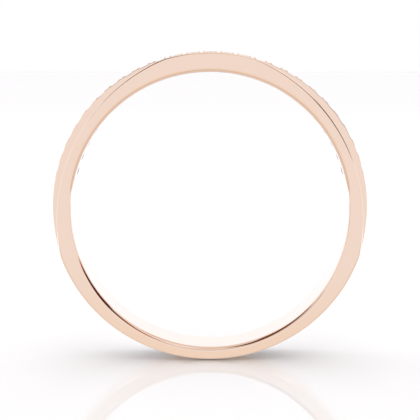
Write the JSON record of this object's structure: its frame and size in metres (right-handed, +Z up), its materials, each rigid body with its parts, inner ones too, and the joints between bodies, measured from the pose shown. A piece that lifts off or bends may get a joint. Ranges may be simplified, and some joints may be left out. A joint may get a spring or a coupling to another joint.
{
  "type": "wedding band",
  "caption": "Rose gold wedding band with scooped shoulders and a single row of small round stones set along its upper half.",
  "frame": {"origin": "middle of the finger hole, halfway between the two side faces", "axes": "+Z up through the top stone, +Y along the finger hole from the front side face to the back one, +X to the right seen from the front"},
  "size_m": [0.0198, 0.003, 0.0195],
  "materials": {
    "rose_gold": "high polish, pink gold alloy",
    "stone": "clear faceted stone"
  },
  "bodies": {
    "root": {"shank": "rose_gold", "setting_strip": "rose_gold", "stone_01": "stone", "stone_02": "stone", "stone_03": "stone", "stone_04": "stone", "stone_05": "stone", "stone_06": "stone", "stone_07": "stone", "stone_08": "stone", "stone_09": "stone", "stone_10": "stone", "stone_11": "stone", "stone_12": "stone", "stone_13": "stone", "stone_14": "stone", "stone_15": "stone", "stone_16": "stone", "stone_17": "stone", "stone_18": "stone", "stone_19": "stone", "stone_20": "stone", "stone_21": "stone", "stone_22": "stone", "stone_23": "stone", "stone_24": "stone", "stone_25": "stone"}
  },
  "joints": []
}
